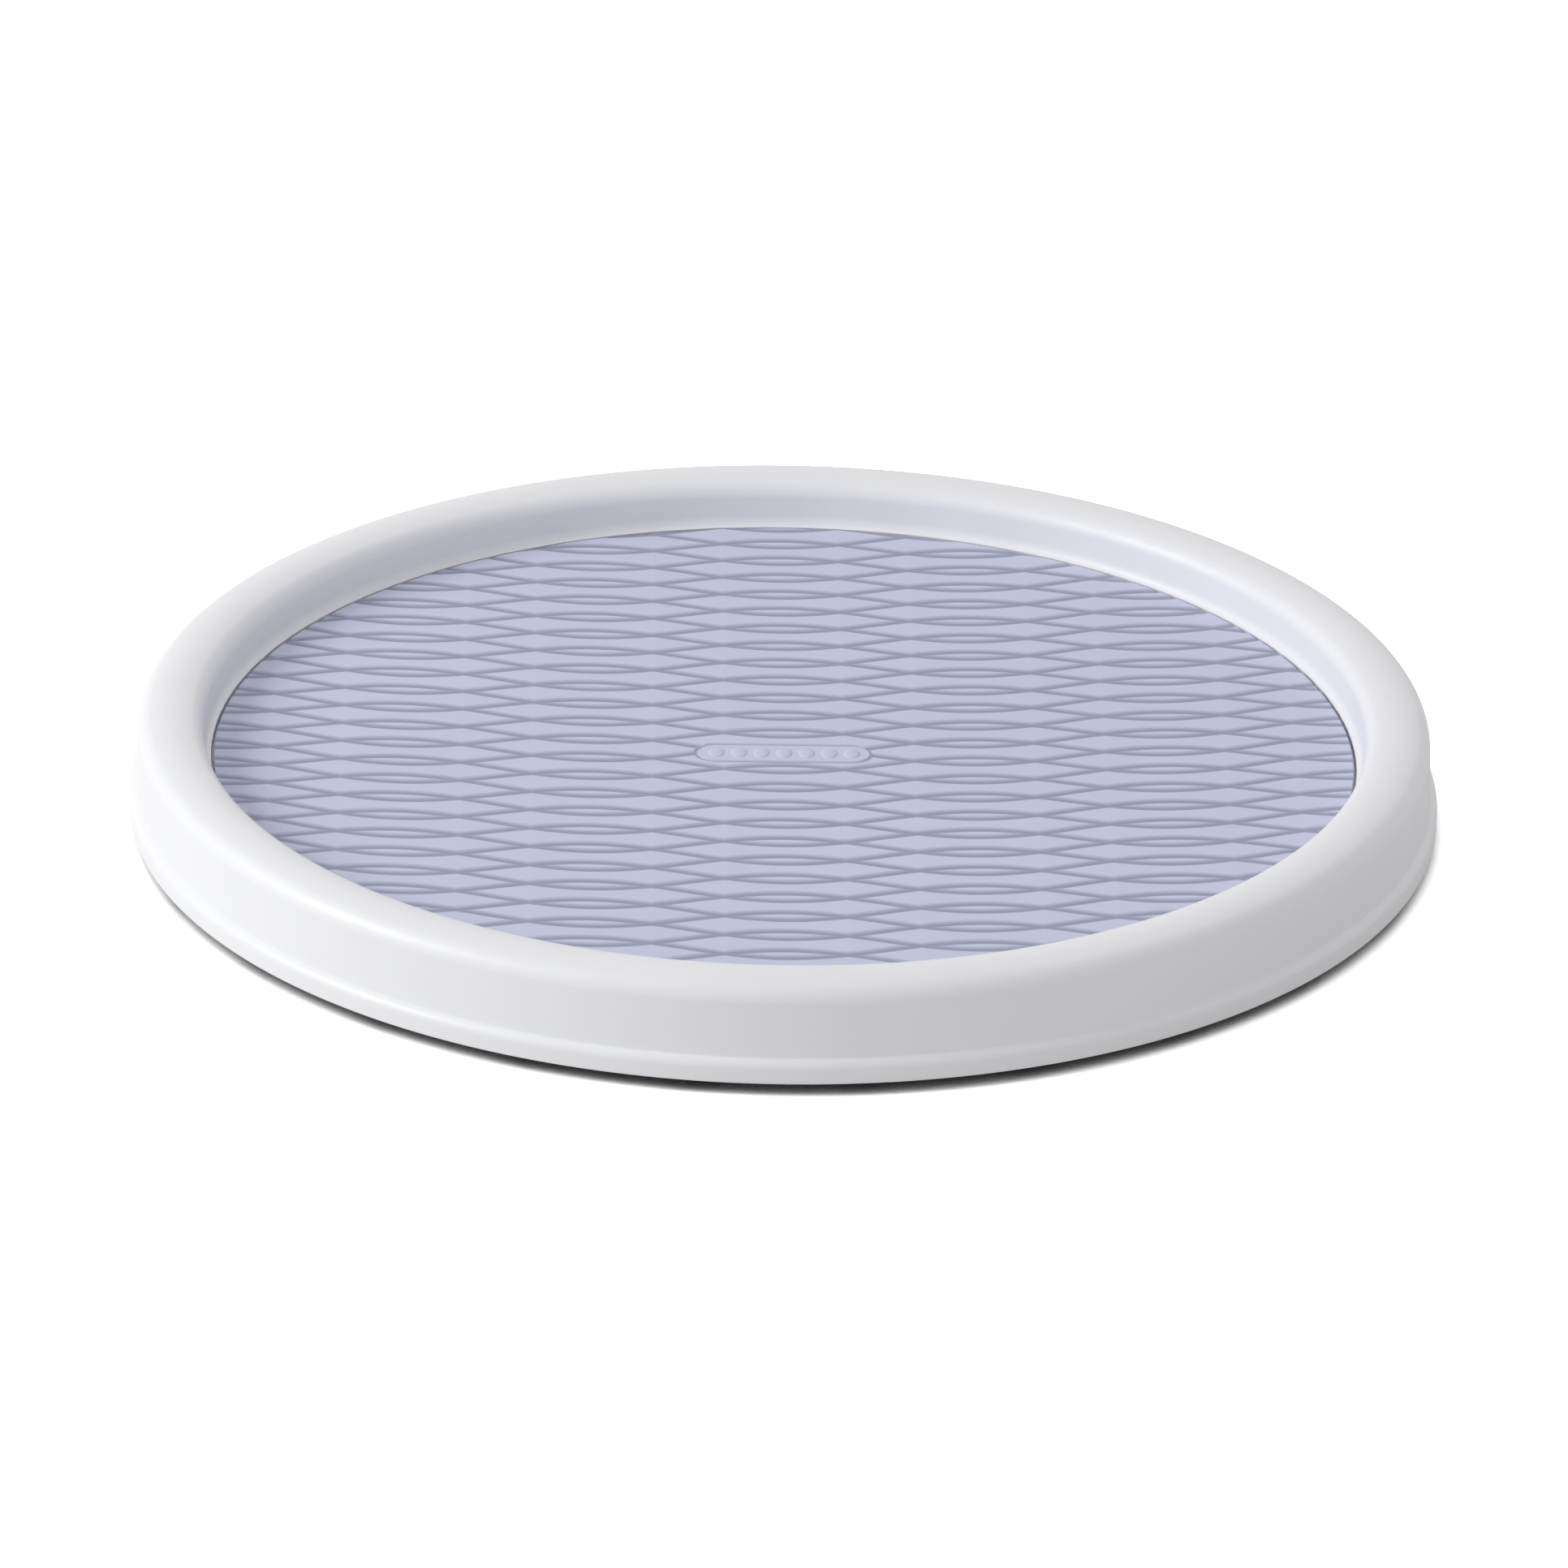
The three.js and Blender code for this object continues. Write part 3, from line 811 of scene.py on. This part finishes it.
# %% The mat's disc, cut
mat = revolve(
    "ribbed_mat",
    [
        (0, MAT_BOTTOM),
        *corner("outer foot", MAT_RADIUS, MAT_BOTTOM, 0.2, 3),
        *corner("outer top", MAT_RADIUS, MAT_TOP, 0.45, 5),
        (0, MAT_TOP),
    ],
)
past_the_edge = MAT_RADIUS + 1.2
grown(mat, MAT_TREE, {"Surface": MAT_TOP, "Reach": past_the_edge, "Material": LAVENDER_MAT})
finished(mat, LAVENDER_MAT, "non_skid_mat", "tray")

# %% [markdown]
# ## Washer and screw
#
# One screw in the middle holds the tray down on its base, through a steel washer wider
# than the hub's bore. The washer is blanked from strip, so one edge is rolled and the
# other is crisp. The screw has a low, wide truss head with a cross recess, and a thread
# that cuts its own way into the boss. A thread follows a path, so Geometry Nodes sweep a
# diamond section up a spiral and join it to the core.

# %% The washer
WASHER_RADIUS, WASHER_BORE = radius_of("retaining_washer"), 2.1
WASHER_BOTTOM, WASHER_TOP = bottom_of("retaining_washer"), top_of("retaining_washer")
washer = revolve(
    "steel_washer",
    closed(
        (WASHER_BORE + 0.1, WASHER_BOTTOM),
        *corner("outer foot", WASHER_RADIUS, WASHER_BOTTOM, 0.2),
        (WASHER_RADIUS, WASHER_TOP - 0.06),
        (WASHER_RADIUS - 0.06, WASHER_TOP),
        (WASHER_BORE, WASHER_TOP),
        (WASHER_BORE, WASHER_BOTTOM + 0.1),
    ),
    96,
)
finished(washer, BRIGHT_STEEL, "retaining_washer", "tray")
print("washer:", len(washer.data.polygons), "faces")

# %% Thread and drive tree
SCREW_SIZES = {
    "Core radius": 1.2,
    "Thread depth": 0.4,
    "Thread pitch": 1.25,
    "Thread start": 2.2,
    "Thread end": 8.6,
    "Head face": 0.65,
    "Slot length": 4.2,
    "Slot width": 0.9,
    "Slot depth": 0.4,
    "Well mouth": 1.0,
    "Well tip": 0.35,
}


def make_screw_tree():
    """The tree works in millimetres."""
    tree, given = geometry_tree("thread and drive", SCREW_SIZES)
    metal = moved(tree, given["Geometry"], Scale=TO_MILLIMETRES)
    span = maths(tree, "SUBTRACT", given["Thread end"], given["Thread start"])
    radius = given["Core radius"]
    spiral = add(
        tree,
        "GeometryNodeCurveSpiral",
        {
            "Resolution": 24,
            "Rotations": maths(tree, "DIVIDE", span, given["Thread pitch"]),
            "Start Radius": radius,
            "End Radius": radius,
            "Height": span,
        },
    ).outputs[0]
    level = add(tree, "GeometryNodeSetCurveNormal", {"Curve": spiral}, mode="Z_UP").outputs[0]
    section = {"Resolution": 4, "Radius": given["Thread depth"]}
    diamond = add(tree, "GeometryNodeCurvePrimitiveCircle", section).outputs["Curve"]
    sweep = {"Curve": level, "Profile Curve": diamond, "Fill Caps": True}
    ridge = add(tree, "GeometryNodeCurveToMesh", sweep).outputs[0]
    raised = moved(tree, ridge, Translation=vector(tree, z=given["Thread start"]))
    solid = boolean(tree, "UNION", metal, raised)
    deep = maths(tree, "MULTIPLY", given["Slot depth"], 2.0)
    for long, wide in (("Slot length", "Slot width"), ("Slot width", "Slot length")):
        size = vector(tree, given[long], given[wide], deep)
        block = add(tree, "GeometryNodeMeshCube", {"Size": size}).outputs["Mesh"]
        at_face = moved(tree, block, Translation=vector(tree, z=given["Head face"]))
        solid = boolean(tree, "DIFFERENCE", solid, at_face)
    cone = {"Vertices": 32, "Radius Top": given["Well tip"], "Radius Bottom": given["Well mouth"]}
    well = add(tree, "GeometryNodeMeshCone", {**cone, "Depth": 1.0}).outputs["Mesh"]
    below_face = maths(tree, "SUBTRACT", given["Head face"], 0.1)
    at_face = moved(tree, well, Translation=vector(tree, z=below_face))
    solid = boolean(tree, "DIFFERENCE", solid, at_face)
    return close_tree(tree, moved(tree, solid, Scale=TO_METRES), given)


# %% The screw
HEAD_RADIUS = radius_of("centre_screw")
HEAD_FACE, SCREW_TIP = bottom_of("centre_screw"), top_of("centre_screw")
HEAD_HEIGHT = 0.8
HEAD_EDGE = 0.12
SHANK = SCREW_SIZES["Core radius"]
SHOULDER = HEAD_FACE + HEAD_HEIGHT
DOME_RADIUS = (HEAD_RADIUS**2 + HEAD_HEIGHT**2) / (2 * HEAD_HEIGHT)
DOME_ANGLE = asin((HEAD_RADIUS - HEAD_EDGE) / DOME_RADIUS) * 180 / pi
screw = revolve(
    "truss_head_screw",
    [
        *arc(0, HEAD_FACE + DOME_RADIUS, DOME_RADIUS, -90, -90 + DOME_ANGLE, 12),
        (HEAD_RADIUS, SHOULDER - HEAD_EDGE),
        (HEAD_RADIUS, SHOULDER - 0.04),
        (HEAD_RADIUS - 0.05, SHOULDER),
        (SHANK + 0.15, SHOULDER),
        (SHANK, SHOULDER + 0.15),
        (SHANK, SCREW_TIP - 1.0),
        (0.35, SCREW_TIP - 0.05),
        (0, SCREW_TIP),
    ],
    64,
)
thread = {"Thread start": SHOULDER + 0.7, "Thread end": SCREW_TIP - 1.2}
screw_sizes = {**thread, "Head face": HEAD_FACE, "Material": BRIGHT_STEEL}
grown(screw, make_screw_tree(), screw_sizes)
finished(screw, BRIGHT_STEEL, "centre_screw", "tray")

# %% [markdown]
# ## The base
#
# The base stands still on the shelf. It is a shallow moulded dish with an upright wall, a
# raised race with a round groove for the balls, and a short sleeve in the middle. Its
# sockets for the feet repeat round a circle, and so do the pockets of the ball ring and the
# marks that the mould's ejector pins leave, so one tree of round sockets serves them all.

# %% Round sockets tree
SOCKET_SIZES = {
    "Count": 6,
    "Circle radius": 100.0,
    "Radius": 3.0,
    "Bottom": 0.0,
    "Top": 1.0,
    "First angle": 0.0,
    "Collar": 0.0,
    "Collar bottom": 0.0,
    "Collar top": 0.0,
}


def ring_of_posts(tree, given, radius, low, high):
    """Upright posts on a circle, in metres."""
    height = maths(tree, "SUBTRACT", high, low)
    post = {
        "Vertices": 48,
        "Radius": maths(tree, "MULTIPLY", radius, MM),
        "Depth": maths(tree, "MULTIPLY", height, MM),
    }
    upright = add(tree, "GeometryNodeMeshCylinder", post).outputs["Mesh"]
    middle = maths(tree, "MULTIPLY", maths(tree, "ADD", low, high), 0.5 * MM)
    out = maths(tree, "MULTIPLY", given["Circle radius"], MM)
    placed = moved(tree, upright, Translation=vector(tree, out, 0.0, middle))
    return round_the_axis(tree, given, placed)


def make_socket_tree(collared):
    tree, given = geometry_tree("collared sockets" if collared else "round sockets", SOCKET_SIZES)
    solid = given["Geometry"]
    if collared:
        wide = maths(tree, "ADD", given["Radius"], given["Collar"])
        collars = ring_of_posts(tree, given, wide, given["Collar bottom"], given["Collar top"])
        solid = boolean(tree, "UNION", solid, collars)
    holes = ring_of_posts(tree, given, given["Radius"], given["Bottom"], given["Top"])
    return close_tree(tree, boolean(tree, "DIFFERENCE", solid, holes), given)


SOCKET_TREE = make_socket_tree(False)
COLLAR_TREE = make_socket_tree(True)


def socketed(piece, material, count, circle, radius, bottom, top, first=0.0):
    sizes = dict(zip(SOCKET_SIZES, (count, circle, radius, bottom, top, first)))
    return grown(piece, SOCKET_TREE, {**sizes, "Material": material})


# %% The base's outline
BASE_FLOOR = 3.6
BASE_WALL = 1.8
LOWER_RACE = 4.2
HUB_DISC = (18.0, 4.6)
HUB_RECESS = (13.0, 2.7)
SLEEVE_BORE, SLEEVE_RADIUS = 9.0, 11.0
FOOT_COUNT, FOOT_CIRCLE, FOOT_FIRST = 6, 107.5, 30.0
FOOT_SOCKET_RADIUS, FOOT_SOCKET_TOP = 7.35, 2.4
PIN_MARKS = (12, 58.0, 3.0)
PIN_MARK_DEPTH = 0.18
SCORED_RINGS = (26, 92)
UNDER_THE_BASE = 1.0


def scored(radius, level):
    """A shallow ring scored in the underside, going outwards."""
    deep = level + 0.3
    return [(radius - 0.5, level), (radius - 0.3, deep), (radius + 0.3, deep), (radius + 0.5, level)]


def base_outline():
    wall = BASE_RADIUS - BASE_WALL
    race_out, race_in = RACE_RADIUS + RACE_HALF_WIDTH, RACE_RADIUS - RACE_HALF_WIDTH
    return closed(
        (SLEEVE_BORE + CHAMFER, HUB_RECESS[1]),
        (HUB_RECESS[0], HUB_RECESS[1]),
        *corner("inner foot", HUB_RECESS[0], BASE_BOTTOM, 0.3),
        *scored(SCORED_RINGS[0], BASE_BOTTOM),
        *scored(SCORED_RINGS[1], BASE_BOTTOM),
        *corner("outer foot", BASE_RADIUS, BASE_BOTTOM, 1.2, 8),
        *corner("outer top", BASE_RADIUS, BASE_TOP, 0.6, 6),
        *corner("inner top", wall, BASE_TOP, 0.4),
        *arc(wall - 0.8, BASE_FLOOR + 0.8, 0.8, 0, -90, 6),
        (race_out, BASE_FLOOR),
        *corner("outer top", race_out, LOWER_RACE, 0.25),
        *race_groove(LOWER_RACE, False),
        *corner("inner top", race_in, LOWER_RACE, 0.25),
        (race_in, BASE_FLOOR),
        *arc(HUB_DISC[0] + 0.5, BASE_FLOOR + 0.5, 0.5, 270, 180, 4),
        *corner("outer top", *HUB_DISC, 0.3),
        (SLEEVE_RADIUS, HUB_DISC[1]),
        *corner("outer top", SLEEVE_RADIUS, BASE_TOP, 0.3),
        *corner("inner top", SLEEVE_BORE, BASE_TOP, 0.3),
        (SLEEVE_BORE, HUB_RECESS[1] + CHAMFER),
    )


# %% The base, with its ribs and sockets
base = revolve("base_dish", base_outline())
ribbed(base, WHITE_PLASTIC, 12, 10.5, 94.4, 3.2, 5.6, 1.6, RIB_FIRST)
ribbed(base, WHITE_PLASTIC, 12, 105.6, 117.0, 3.3, 6.4, 1.6, RIB_FIRST)
feet_at = (FOOT_COUNT, FOOT_CIRCLE, FOOT_SOCKET_RADIUS)
socketed(base, WHITE_PLASTIC, *feet_at, UNDER_THE_BASE, FOOT_SOCKET_TOP, FOOT_FIRST)
socketed(base, WHITE_PLASTIC, *PIN_MARKS, UNDER_THE_BASE, BASE_BOTTOM + PIN_MARK_DEPTH)
finished(base, WHITE_PLASTIC, "base", "base")

# %% [markdown]
# ## Hub bushing, feet
#
# A flanged bushing of natural acetal sits in the sleeve, so that the tray's boss turns in a
# slippery plastic. Four grease grooves run down its bore. The six feet are pressed into
# the base's sockets. Their rubber is moulded with rings, which hold on a wet shelf better
# than a flat pad.

# %% The bushing
BUSHING_BORE = 7.35
BUSHING_RADIUS = SLEEVE_BORE - AIR
GREASE_GROOVES = (4, BUSHING_BORE, 0.55)
FLANGE_RADIUS = radius_of("hub_bushing")
BUSHING_BOTTOM, FLANGE_TOP = bottom_of("hub_bushing"), top_of("hub_bushing")
FLANGE_BOTTOM = BASE_TOP + AIR
bushing = revolve(
    "flanged_bushing",
    closed(
        (BUSHING_BORE + CHAMFER, BUSHING_BOTTOM),
        (BUSHING_RADIUS - 0.4, BUSHING_BOTTOM),
        (BUSHING_RADIUS, BUSHING_BOTTOM + 0.6),
        (BUSHING_RADIUS, FLANGE_BOTTOM),
        *corner("outer foot", FLANGE_RADIUS, FLANGE_BOTTOM, 0.2),
        *corner("outer top", FLANGE_RADIUS, FLANGE_TOP, 0.2),
        (BUSHING_BORE + CHAMFER, FLANGE_TOP),
        (BUSHING_BORE, FLANGE_TOP - CHAMFER),
        (BUSHING_BORE, BUSHING_BOTTOM + CHAMFER),
    ),
    128,
)
socketed(bushing, ACETAL, *GREASE_GROOVES, BUSHING_BOTTOM - 1, FLANGE_TOP + 1, 45.0)
finished(bushing, ACETAL, "hub_bushing", "base")


# %% The feet
FOOT_RADIUS = 7.0
FOOT_RINGS = (2.5, 3.8, 5.1)
RING_DEPTH = 0.3


def foot_outline(top):
    deep = RING_DEPTH
    points = [(0, 0.25), (1.2, 0.25), (1.45, 0)]
    for start in FOOT_RINGS:
        points += [(start, 0), (start + 0.12, deep), (start + 0.5, deep), (start + 0.62, 0)]
    edge = [(FOOT_RADIUS - 0.2, top - 0.2), (FOOT_RADIUS - 0.35, top), (0, top)]
    return points + arc(FOOT_RADIUS - 0.55, 0.55, 0.5, -90, 0, 5) + edge


for number in range(FOOT_COUNT):
    node = f"foot_{number + 1}"
    angle = radians(FOOT_FIRST + number * 360 / FOOT_COUNT)
    foot = revolve(f"rubber_foot_{number + 1}", foot_outline(top_of(node)), 72)
    spot = Vector((cos(angle), sin(angle), 0)) * FOOT_CIRCLE * MM
    foot.data.transform(Matrix.Translation(spot))
    finished(foot, FOOT_RUBBER, node, "base")
print("feet under the base:", FOOT_COUNT)

# %% [markdown]
# ## The ball ring
#
# Eighteen steel balls carry the tray. A thin plastic ring keeps them apart and goes round
# at half the tray's speed, as the balls roll between the two grooves. Its rims and the
# collars round its pockets are thicker than the web between them.

# %% The ring with its pockets
CAGE_LOW, CAGE_HIGH = bottom_of("ball_cage"), top_of("ball_cage")
CAGE_OUT = radius_of("ball_cage")
CAGE_IN = 2 * RACE_RADIUS - CAGE_OUT
BALL_COUNT = 18
WEB_SUNK = 0.3
RIM = 0.9
RAMP = 0.2
POCKET_PLAY = 0.4
COLLAR_SUNK = 0.02


def cage_outline():
    low, high = CAGE_LOW + WEB_SUNK, CAGE_HIGH - WEB_SUNK
    return closed(
        *corner("inner foot", CAGE_IN, CAGE_LOW, 0.25),
        (CAGE_IN + RIM, CAGE_LOW),
        (CAGE_IN + RIM + RAMP, low),
        (CAGE_OUT - RIM - RAMP, low),
        (CAGE_OUT - RIM, CAGE_LOW),
        *corner("outer foot", CAGE_OUT, CAGE_LOW, 0.25),
        *corner("outer top", CAGE_OUT, CAGE_HIGH, 0.25),
        (CAGE_OUT - RIM, CAGE_HIGH),
        (CAGE_OUT - RIM - RAMP, high),
        (CAGE_IN + RIM + RAMP, high),
        (CAGE_IN + RIM, CAGE_HIGH),
        *corner("inner top", CAGE_IN, CAGE_HIGH, 0.25),
    )


cage = revolve("ball_ring", cage_outline())
pockets = {
    "Count": BALL_COUNT,
    "Circle radius": RACE_RADIUS,
    "Radius": BALL_RADIUS + POCKET_PLAY,
    "Bottom": CAGE_LOW - 1,
    "Top": CAGE_HIGH + 1,
    "Collar": RIM,
    "Collar bottom": CAGE_LOW + COLLAR_SUNK,
    "Collar top": CAGE_HIGH - COLLAR_SUNK,
}
grown(cage, COLLAR_TREE, {**pockets, "Material": CAGE_PLASTIC})
finished(cage, CAGE_PLASTIC, "ball_cage", "cage")


# %% The balls
def steel_ball(name, centre):
    mesh = bpy.data.meshes.new(name)
    form = bmesh.new()
    bmesh.ops.create_icosphere(form, subdivisions=4, radius=BALL_RADIUS * MM)
    bmesh.ops.translate(form, vec=centre, verts=form.verts)
    form.to_mesh(mesh)
    form.free()
    shaded(mesh)
    return in_the_scene(name, mesh)


for number in range(1, BALL_COUNT + 1):
    node = f"ball_{number:02d}"
    low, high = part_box(node)
    ball = steel_ball(f"steel_{node}", (low + high) / 2)
    finished(ball, BRIGHT_STEEL, node, node)
print("balls in the ring:", BALL_COUNT)

# %% [markdown]
# ## The stage
#
# A pale floor and soft studio light. A large lamp high on the left gives the skirt its
# bright left side and its grey right side, and the world fills the rest evenly. The world
# is white to the camera and in reflections, and dimmer as a light. The floor is an
# ordinary matt surface, so it takes the object's shadow, and the colour it has depends on
# what looks at it. Light that bounces off it finds a pale grey, and a reflection finds
# white. The camera finds so bright a white that the wide soft shadow fades out, and
# Ambient Occlusion darkens it where the gap under the lip closes, which leaves the dark
# line that the object stands on.

# %% The floor's finish
FLOOR_TONE = 0.75
FLOOR_MIRRORED = 1.1
FLOOR_SEEN = 5.0
CONTACT_REACH = 0.03
CONTACT_POWER = 1.9
WORLD_LEVEL = 0.6


def chosen(tree, switch, off, on):
    """The value off where switch is 0, and on where it is 1."""
    ends = {"Value": switch, "To Min": off, "To Max": on}
    return add(tree, "ShaderNodeMapRange", ends).outputs["Result"]


def seen_directly(tree):
    """1 for camera, glossy and transmission rays."""
    path = add(tree, "ShaderNodeLightPath").outputs
    either = maths(tree, "MAXIMUM", path["Is Glossy Ray"], path["Is Transmission Ray"])
    return maths(tree, "MAXIMUM", path["Is Camera Ray"], either)


def make_floor_finish():
    material = bpy.data.materials.new("pale floor")
    material.use_nodes = True
    tree = material.node_tree
    tree.nodes.remove(tree.nodes["Principled BSDF"])
    path = add(tree, "ShaderNodeLightPath").outputs
    reach = {"Distance": CONTACT_REACH}
    openness = add(tree, "ShaderNodeAmbientOcclusion", reach, samples=8).outputs["AO"]
    closed_in = maths(tree, "POWER", openness, CONTACT_POWER)
    seen = maths(tree, "MULTIPLY", closed_in, FLOOR_SEEN)
    tone = chosen(tree, path["Is Glossy Ray"], FLOOR_TONE, FLOOR_MIRRORED)
    tone = chosen(tree, path["Is Camera Ray"], tone, seen)
    surface = add(tree, "ShaderNodeBsdfDiffuse", {"Color": tone})
    tree.links.new(surface.outputs[0], tree.nodes["Material Output"].inputs["Surface"])
    return material


# %% Floor, world and lamp
FLOOR_HALF = 30.0
floor_mesh = bpy.data.meshes.new("floor")
signs = [(-1, -1), (1, -1), (1, 1), (-1, 1)]
spots = [(x * FLOOR_HALF, y * FLOOR_HALF, 0) for x, y in signs]
floor_mesh.from_pydata(spots, [], [(0, 1, 2, 3)])
floor_mesh.materials.append(make_floor_finish())
floor = in_the_scene("floor", floor_mesh)

world = bpy.data.worlds.new("studio")
bpy.context.scene.world = world
world.use_nodes = True
sky = world.node_tree
level = chosen(sky, seen_directly(sky), WORLD_LEVEL, 1.0)
sky.links.new(level, sky.nodes["Background"].inputs["Strength"])
sky.nodes["Background"].inputs["Color"].default_value = (1, 1, 1, 1)


def lamp(name, place, target, size, power):
    data = bpy.data.lights.new(name, "AREA")
    data.shape = "DISK"
    data.size = size
    data.energy = power
    made = in_the_scene(name, data)
    made.location = place
    made.rotation_euler = (Vector(target) - Vector(place)).to_track_quat("-Z", "Y").to_euler()
    print(name, "points", [round(part, 2) for part in Vector(target) - Vector(place)])


lamp("key_left", (-2.35, -0.45, 1.46), (0, 0, 0.02), 1.55, 40)

# %% [markdown]
# ## The camera
#
# A long lens from three metres away, 24 degrees above the shelf, shows a low round object
# with hardly any perspective. The camera leans by one degree.

# %% Camera
ELEVATION = radians(24.43)
LEAN = radians(0.99)
DISTANCE = 3.0
LENS = 295.6
AIM_BELOW = 0.0072


def make_camera():
    back = Vector((0, -cos(ELEVATION), sin(ELEVATION)))
    right = Vector((1, 0, 0))
    up = back.cross(right)
    side = right * cos(LEAN) + up * sin(LEAN)
    top = up * cos(LEAN) - right * sin(LEAN)
    data = bpy.data.cameras.new("camera")
    data.lens = LENS
    data.clip_end = 100
    made = in_the_scene("camera", data)
    spot = Vector((0, 0, MAT_TOP * MM)) - top * AIM_BELOW + back * DISTANCE
    made.matrix_world = Matrix.Translation(spot) @ Matrix((side, top, back)).transposed().to_4x4()
    bpy.context.scene.camera = made
    print("camera at", [round(part, 3) for part in spot])


make_camera()
bpy.context.scene.view_settings.view_transform = "Standard"
